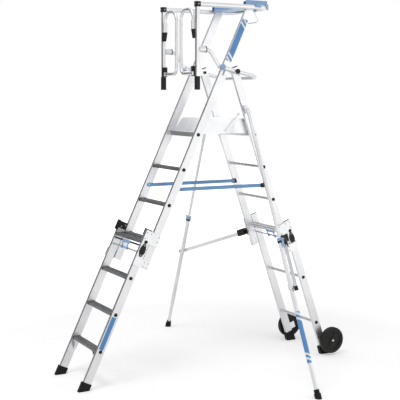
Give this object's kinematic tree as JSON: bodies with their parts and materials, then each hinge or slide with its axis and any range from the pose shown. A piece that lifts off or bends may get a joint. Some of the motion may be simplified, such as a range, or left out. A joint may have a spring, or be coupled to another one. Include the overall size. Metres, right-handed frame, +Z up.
{
  "type": "mobile platform ladder",
  "caption": "Telescopic mobile platform ladder with guard cage, swinging gates, folding platform, outriggers, tool tray and rear wheels.",
  "frame": {"origin": "on the floor under the middle of the ladder's bounding box", "axes": "+Z up, +X from the climbing side to the wheeled side, +Y to the left of a climber"},
  "size_m": [2.314, 2.4086, 2.848],
  "materials": {
    "aluminium": "extruded, satin",
    "tread": "ribbed, dark anodised",
    "black_plastic": "moulded, fine grain",
    "black_steel": "black coated",
    "rubber": "matt moulded",
    "wheel": "matt moulded tyre on a plastic hub",
    "blue_plastic": "moulded",
    "blue_bar": "powder coated",
    "steel": "zinc plated rod"
  },
  "bodies": {
    "front_upper": {"front_upper_stiles": "aluminium", "upper_treads": "tread", "upper_tread_caps": "black_plastic", "platform_bearer": "aluminium", "front_upper_guides": "aluminium", "top_rail": "aluminium", "gate_posts": "aluminium", "post_caps": "black_plastic", "mid_rail": "aluminium", "pivot_brackets": "aluminium", "pivot_pins": "black_plastic", "tool_tray": "blue_plastic", "gate_brackets": "black_plastic"},
    "front_lower": {"front_lower_stiles": "aluminium", "lower_treads": "tread", "lower_tread_caps": "black_plastic", "front_feet": "rubber", "front_lower_guides": "aluminium", "front_lock_plates": "black_plastic", "front_lock_rod": "black_steel"},
    "front_lock": {"front_release_handle": "blue_plastic"},
    "rear_upper": {"rear_upper_stiles": "aluminium", "rear_upper_rungs": "aluminium", "rear_upper_plugs": "black_plastic", "rear_upper_guides": "aluminium", "swivel_forks": "aluminium"},
    "rear_lower": {"rear_lower_stiles": "aluminium", "rear_lower_rungs": "aluminium", "rear_lower_plugs": "black_plastic", "rear_lower_guides": "aluminium", "rear_feet": "rubber", "wheel_brackets": "aluminium", "rear_lock_rod": "black_steel"},
    "rear_lock": {"rear_release_handle": "blue_plastic"},
    "platform": {"platform": "aluminium"},
    "bail": {"bucket_bail": "steel"},
    "stay_right": {"platform_stay_right": "aluminium"},
    "spreader_right": {"spreader_bar_right": "blue_bar"},
    "wheel_right": {"wheel_right": "wheel"},
    "gate_right": {"gate_right": "aluminium"},
    "knob_right": {"knob_right": "blue_plastic"},
    "outrigger_right": {"brace_ends_right": "black_plastic", "leg_upper_right": "aluminium", "leg_brace_right": "aluminium"},
    "leg_right": {"leg_lower_right": "aluminium", "leg_clamp_right": "blue_plastic", "leg_foot_right": "rubber"},
    "lever_right": {"clamp_lever_right": "blue_plastic"},
    "stay_left": {"platform_stay_left": "aluminium"},
    "spreader_left": {"spreader_bar_left": "blue_bar"},
    "wheel_left": {"wheel_left": "wheel"},
    "gate_left": {"gate_left": "aluminium"},
    "knob_left": {"knob_left": "blue_plastic"},
    "outrigger_left": {"brace_ends_left": "black_plastic", "leg_upper_left": "aluminium", "leg_brace_left": "aluminium"},
    "leg_left": {"leg_lower_left": "aluminium", "leg_clamp_left": "blue_plastic", "leg_foot_left": "rubber"},
    "lever_left": {"clamp_lever_left": "blue_plastic"}
  },
  "joints": [
    {"name": "front_extension", "type": "slide", "parent": "front_upper", "child": "front_lower", "axis": [0.4258, 0, 0.9048], "range_m": [0, 0.575]},
    {"name": "front_release", "type": "slide", "parent": "front_lower", "child": "front_lock", "axis": [0.4258, 0, 0.9048], "range_m": [0, 0.012], "stiffness_N_per_m": 900},
    {"name": "rear_fold", "type": "hinge", "parent": "front_upper", "child": "rear_upper", "pos_m": [0.13451, 0, 2.31], "axis": [0, 1, 0], "range_deg": [0, 32]},
    {"name": "rear_extension", "type": "slide", "parent": "rear_upper", "child": "rear_lower", "axis": [-0.3338, 0, 0.9426], "range_m": [0, 0.5516]},
    {"name": "rear_release", "type": "slide", "parent": "rear_lower", "child": "rear_lock", "axis": [-0.3338, 0, 0.9426], "range_m": [0, 0.012], "stiffness_N_per_m": 900},
    {"name": "platform_fold", "type": "hinge", "parent": "front_upper", "child": "platform", "pos_m": [-0.17636, 0, 1.835], "axis": [0, 1, 0], "range_deg": [-57.7, 0]},
    {"name": "bail_swing", "type": "hinge", "parent": "front_upper", "child": "bail", "pos_m": [0.34438, 0, 2.778], "axis": [0, 1, 0], "range_deg": [-60, 40]},
    {"name": "stay_turn_right", "type": "hinge", "parent": "platform", "child": "stay_right", "pos_m": [0.08764, -0.2135, 1.86], "axis": [0, 1, 0], "range_deg": [0, 145.1]},
    {"name": "spreader_turn_right", "type": "hinge", "parent": "front_upper", "child": "spreader_right", "pos_m": [-0.36346, -0.216, 1.428], "axis": [0, 1, 0], "range_deg": [0, 94.5]},
    {"name": "wheel_spin_right", "type": "hinge", "parent": "rear_lower", "child": "wheel_right", "pos_m": [1.049, -0.3085, 0.124], "axis": [0, 1, 0], "continuous": true},
    {"name": "gate_swing_right", "type": "hinge", "parent": "front_upper", "child": "gate_right", "pos_m": [-0.21236, -0.232, 2.53], "axis": [0, 0, -1], "range_deg": [0, 85], "stiffness_Nm_per_rad": 0.6},
    {"name": "knob_turn_right", "type": "hinge", "parent": "front_upper", "child": "knob_right", "pos_m": [0.00001, -0.301, 2.34105], "axis": [0, 1, 0], "range_deg": [0, 180]},
    {"name": "outrigger_swing_right", "type": "hinge", "parent": "rear_upper", "child": "outrigger_right", "pos_m": [0.22554, -0.274, 2.02], "axis": [-0.3338, 0, 0.9426], "range_deg": [0, 75]},
    {"name": "leg_extension_right", "type": "slide", "parent": "outrigger_right", "child": "leg_right", "axis": [0.0283, -0.3996, -0.9162], "range_m": [-0.3, 0.08]},
    {"name": "clamp_lever_right", "type": "hinge", "parent": "leg_right", "child": "lever_right", "pos_m": [0.25673, -0.73602, 1.08349], "axis": [-0.9975, -0.0707, 0], "range_deg": [0, 110]},
    {"name": "stay_turn_left", "type": "hinge", "parent": "platform", "child": "stay_left", "pos_m": [0.08764, 0.2135, 1.86], "axis": [0, 1, 0], "range_deg": [0, 145.1]},
    {"name": "spreader_turn_left", "type": "hinge", "parent": "front_upper", "child": "spreader_left", "pos_m": [-0.36346, 0.216, 1.428], "axis": [0, 1, 0], "range_deg": [0, 94.5]},
    {"name": "wheel_spin_left", "type": "hinge", "parent": "rear_lower", "child": "wheel_left", "pos_m": [1.049, 0.3085, 0.124], "axis": [0, 1, 0], "continuous": true},
    {"name": "gate_swing_left", "type": "hinge", "parent": "front_upper", "child": "gate_left", "pos_m": [-0.21236, 0.232, 2.53], "axis": [0, 0, 1], "range_deg": [0, 85], "stiffness_Nm_per_rad": 0.6},
    {"name": "knob_turn_left", "type": "hinge", "parent": "front_upper", "child": "knob_left", "pos_m": [0.00001, 0.301, 2.34105], "axis": [0, 1, 0], "range_deg": [0, 180]},
    {"name": "outrigger_swing_left", "type": "hinge", "parent": "rear_upper", "child": "outrigger_left", "pos_m": [0.22554, 0.274, 2.02], "axis": [0.3338, 0, -0.9426], "range_deg": [0, 75]},
    {"name": "leg_extension_left", "type": "slide", "parent": "outrigger_left", "child": "leg_left", "axis": [0.0283, 0.3996, -0.9162], "range_m": [-0.3, 0.08]},
    {"name": "clamp_lever_left", "type": "hinge", "parent": "leg_left", "child": "lever_left", "pos_m": [0.25673, 0.73602, 1.08349], "axis": [0.9975, -0.0707, 0], "range_deg": [0, 110]}
  ],
  "couplings": [
    {"joint": "platform_fold", "follows": "rear_fold", "ratio": -1.8},
    {"joint": "stay_turn_right", "follows": "rear_fold", "ratio": 4.53},
    {"joint": "spreader_turn_right", "follows": "rear_fold", "ratio": 2.95},
    {"joint": "stay_turn_left", "follows": "rear_fold", "ratio": 4.53},
    {"joint": "spreader_turn_left", "follows": "rear_fold", "ratio": 2.95}
  ]
}
